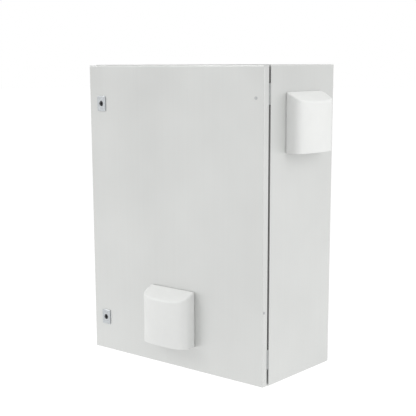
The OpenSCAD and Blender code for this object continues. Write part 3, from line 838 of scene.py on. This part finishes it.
screwSets = {
    "terminalScrews": {
        "body": "terminal_blocks",
        "spots": [(x * 10 - 75.2, -66, z) for x in range(16) for z in (-107.5, -92.5)],
        "size": {"Head": 2.6 * mm, "Tall": 0.9 * mm, "Thread": 1.5 * mm, "Length": 3 * mm}},
    "breakerScrews": {
        "body": "mains_breaker_case",
        "spots": [(x, -74, z) for x in (-204, -188, -164, -148) for z in (258, 322)],
        "size": {"Head": 3.2 * mm, "Tall": 1.0 * mm, "Thread": 2 * mm, "Length": 4 * mm}},
    "relayScrews": {
        "body": "relays",
        "spots": [(x, -60, z) for x in (-118, -106, -88, -76) for z in (259, 321)],
        "size": {"Head": 2.4 * mm, "Tall": 0.9 * mm, "Thread": 1.5 * mm, "Length": 3 * mm}},
    "operatorScrews": {
        "body": "operator_case",
        "spots": [(x, -182.5, z) for x in (-52, 52) for z in (58, 162)],
        "size": {"Head": 3.4 * mm, "Tall": 1.5 * mm, "Thread": 2 * mm, "Length": 4 * mm}},
    "coverScrews": {
        "body": "switch_cover",
        "spots": [(x, -132.5, z) for x in (-140, -70, 70, 140) for z in (48, 172)],
        "size": {"Head": 3.4 * mm, "Tall": 1.5 * mm, "Thread": 2 * mm, "Length": 4 * mm}},
    "hingeScrews": {
        "body": "hinge_screws", "stands": True,
        "spots": [(288, -276.5, side * 330 + dz) for side in (-1, 1) for dz in (-15, 15)],
        "size": {"Head": 3.6 * mm, "Tall": 1.4 * mm, "Thread": 2 * mm, "Length": 1.5 * mm}},
    "glandScrews": {
        "body": "gland_screws", "turn": (0, 0, 0), "stands": True,
        "spots": [(x, y, -394.5) for x in (-210, -70, 70, 210) for y in (-225, -65)],
        "size": {"Head": 4 * mm, "Tall": 2.5 * mm, "Thread": 2 * mm, "Length": 5 * mm}},
}


def makeScrews(name, body, spots, size, turn=(math.pi / 2, 0, 0), slot="zinc", stands=False):
    piece = grown(
        name, screwTree, pointMesh(name + "Spots", spots), Turn=turn, Finish=finishes[slot],
        **size)
    weighNormals(piece)
    if stands:
        standFor(piece, body)
    else:
        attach(piece, bodyOf[body])


for name, values in screwSets.items():
    makeScrews(name, **values)
print("screws made")


# small repeated blocks on the equipment

rowSets = {  # in millimetres
    "terminalTags": {
        "body": "terminal_blocks", "slot": "light_plastic",
        "item": ((-3.4, -0.7, -2.2), (3.4, 0, 2.2)),
        "first": (-75.2, -66, -100), "step": (10, 0, 0), "count": 16, "edge": 0.15},
    "coverRibsLeft": {
        "body": "switch_cover", "slot": "grey_plastic",
        "item": ((-26, -1.2, -1.2), (26, 0, 1.2)),
        "first": (-105, -132.5, 70), "step": (0, 0, 8), "count": 11, "edge": 0.5},
    "coverRibsRight": {
        "body": "switch_cover", "slot": "grey_plastic",
        "item": ((-26, -1.2, -1.2), (26, 0, 1.2)),
        "first": (105, -132.5, 70), "step": (0, 0, 8), "count": 11, "edge": 0.5},
    "controllerKeys": {
        "body": "controller_case", "slot": "grey_plastic",
        "item": ((-5, -1.4, -4), (5, 0, 4)),
        "first": (64, -95, 268), "step": (14, 0, 0), "count": 3, "edge": 0.5},
    "supplyLamps": {
        "body": "controller_case", "slot": "button_green",
        "item": ((-2, -0.9, -2), (2, 0, 2)),
        "first": (64, -95, 322), "step": (14, 0, 0), "count": 2, "edge": 0.5},
    "alarmLamp": {
        "body": "controller_case", "slot": "handle_red",
        "item": ((-2, -0.9, -2), (2, 0, 2)),
        "first": (92, -95, 322), "step": (14, 0, 0), "count": 1, "edge": 0.5},
    "displayBars": {
        "body": "controller_case", "slot": "dark_plastic",
        "item": ((-1.6, -0.15, 0), (1.6, 0, 14)),
        "first": (-22, -94.45, 293), "step": (6, 0, 0), "count": 11, "edge": 0.04},
    "relayFlags": {
        "body": "relays", "slot": "button_yellow",
        "item": ((-4, -0.8, -2), (4, 0, 2)),
        "first": (-112, -92, 303), "step": (30, 0, 0), "count": 2, "edge": 0.3},
}


def makeRow(name, body, slot, item, first, step, count, edge):
    block = newPiece(name + "Block", boxMesh(name + "Block", item))
    piece = grown(
        name, rowTree, Item=block, Count=count, First=millimetres(*first),
        Step=millimetres(*step), Finish=finishes[slot])
    dress(piece, edge * mm)
    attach(piece, bodyOf[body])


for name, values in rowSets.items():
    makeRow(name, **values)


stiffener = {  # in millimetres
    "inset": 14, "holes": 28, "firstHole": -337.5, "pitch": 25, "hole": 3.2,
}


def makeStiffeners():  # strips behind the door, perforated one after the other
    mesh = cleanCopy("door_stiffeners")
    data = bpy.data.meshes.new("stiffenerBlank")
    mesh.to_mesh(data)
    mesh.free()
    low, high = (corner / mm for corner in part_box("door_stiffeners"))
    for x in (low.x + stiffener["inset"], high.x - stiffener["inset"]):
        strip = grown(
            "doorStiffeners", holeTree, data, Count=stiffener["holes"],
            First=millimetres(x, high.y, stiffener["firstHole"]),
            Step=millimetres(0, 0, stiffener["pitch"]), Radius=stiffener["hole"] * mm,
            Finish=finishes["galvanised"])
        data = strip.data
        if x < 0:
            bpy.data.objects.remove(strip)
    dress(strip, 0.3 * mm)
    standFor(strip, "door_stiffeners")


makeStiffeners()
print("small details made")


# everything else keeps its own shape, with its edges broken

edgeSizes = {  # in millimetres
    "gland_plate": 0.4, "gland_gasket": 0.3, "mounting_plate": 0.4, "plate_nuts": 0.5,
    "hinge_frame_leaves": 0.25, "hinge_pins": 0.2, "side_hood_frame": 0.5,
    "side_filter_mat": 1.2, "fan_frame": 0.8, "din_rails": 0.25, "duct_covers": 0.6,
    "switch_base": 1.2, "switch_cover": 1.5, "operator_case": 3.0, "operating_handle": 2.0,
    "contact_shaft": 0.4, "source_1_terminals": 0.4, "source_2_terminals": 0.4,
    "load_terminals": 0.4, "busbar_bolts": 0.5, "phase_barriers": 0.4, "controller_case": 2.0,
    "controller_window": 0.3, "mode_button": 1.0, "test_button": 1.0, "mains_breaker_case": 0.8,
    "mains_breaker_toggle": 0.8, "generator_breaker_case": 0.8, "generator_breaker_toggle": 0.8,
    "relays": 0.8, "terminal_blocks": 0.5, "bar_insulators": 1.0, "neutral_bar": 0.5,
    "earth_bar": 0.5, "door_gasket": 1.6, "hinge_door_leaves": 0.25, "lock_housings": 0.9,
    "lock_nuts": 0.6, "upper_lock_core": 0.4, "upper_lock_cam": 0.4, "lower_lock_core": 0.4,
    "lower_lock_cam": 0.4, "door_hood_frame": 0.5, "door_filter_mat": 1.2,
    "document_pocket": 0.6, "blind_plugs": 0.5,
}


def spoken(node):  # gland_plate becomes glandPlate
    first, *rest = node.split("_")
    return first + "".join(word.capitalize() for word in rest)


for node, size in edgeSizes.items():
    rounded(spoken(node), node, size * mm)
print("equipment made")


# floor, light and camera

studio = {
    "ambient": 0.54, "backdrop": 1.0,
    "floorHalf": 40, "floorDrop": 0.45, "floorGlow": 0.93, "floorTone": 0.15,
    "lamps": {
        "keyLamp": {
            "place": (-3.0, -3.2, 2.3), "aim": (0, -0.2, 0), "size": (2.0, 2.0), "power": 90},
        "sideLamp": {
            "place": (3.4, -0.2, 1.6), "aim": (0.3, -0.1, 0), "size": (2.6, 2.6), "power": 52},
        "topLamp": {
            "place": (0.3, -0.8, 3.3), "aim": (0.1, -0.2, 0), "size": (2.4, 2.4), "power": 32},
        "backLamp": {
            "place": (2.6, 4.2, 2.4), "aim": (0.3, 0, 0), "size": (4.0, 3.0), "power": 42},
    },
}


def makeStage():
    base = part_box("enclosure_shell")[0].z
    mesh = bmesh.new()
    bmesh.ops.create_grid(mesh, x_segments=2, y_segments=2, size=studio["floorHalf"])
    bmesh.ops.translate(mesh, verts=mesh.verts, vec=(0, 0, base - studio["floorDrop"]))
    data = bpy.data.meshes.new("floor")
    mesh.to_mesh(data)
    mesh.free()
    floor = newPiece("floor", data)
    paper = Finish("paleFloor", {
        "Specular IOR Level": 0.1,
        "Emission Color": (1, 1, 1, 1), "Emission Strength": studio["floorGlow"]})
    mottle = paper.noise(paper.place, 3.0, 2.0)
    tone = studio["floorTone"]
    data.materials.append(paper.set(
        colour=paper.colours(mottle, (tone, tone, tone), (tone * 1.03, tone * 1.03, tone * 1.03)),
        rough=paper.between(mottle, 0.85, 0.95)))


def makeLamp(name, place, aim, size, power):
    lamp = bpy.data.lights.new(name, "AREA")
    lamp.shape = "RECTANGLE"
    lamp.size, lamp.size_y = size
    lamp.energy = power
    holder = bpy.data.objects.new(name, lamp)
    holder.location = place
    holder.rotation_euler = (Vector(aim) - Vector(place)).to_track_quat("-Z", "Y").to_euler()
    bpy.context.scene.collection.objects.link(holder)


def makeLight():  # the sky lights the object softly and shows as plain white behind it
    world = bpy.data.worlds.new("studio")
    world.use_nodes = True
    tree = Tree(world.node_tree)
    seen = tree.add("ShaderNodeLightPath", out="Is Camera Ray")
    strength = seen * (studio["backdrop"] - studio["ambient"]) + studio["ambient"]
    shade = world.node_tree.nodes["Background"]
    shade.inputs["Color"].default_value = (1, 1, 1, 1)
    tree.feed(shade.inputs["Strength"], strength)
    bpy.context.scene.world = world
    bpy.context.scene.view_settings.view_transform = "Standard"
    for name, lamp in studio["lamps"].items():
        makeLamp(name, **lamp)


view = {
    "eye": (1.678, -2.164, 0.4023), "yaw": 39.83, "pitch": 10.91, "roll": -0.2,
    "lens": 83.5, "sensor": 36.0, "rise": 0.1, "farthest": 50,
}


def makeCamera():
    yaw, pitch, roll = (math.radians(view[k]) for k in ("yaw", "pitch", "roll"))
    look = Vector((
        -math.sin(yaw) * math.cos(pitch), math.cos(yaw) * math.cos(pitch), -math.sin(pitch)))
    camera = bpy.data.cameras.new("camera")
    camera.lens = view["lens"]
    camera.sensor_width = view["sensor"]
    camera.shift_y = view["rise"]
    camera.clip_end = view["farthest"]
    holder = bpy.data.objects.new("camera", camera)
    turn = look.to_track_quat("-Z", "Y") @ Matrix.Rotation(roll, 4, "Z").to_quaternion()
    holder.matrix_world = Matrix.Translation(view["eye"]) @ turn.to_matrix().to_4x4()
    bpy.context.scene.collection.objects.link(holder)
    bpy.context.scene.camera = holder


makeStage()
makeLight()
makeCamera()
print("stage made")
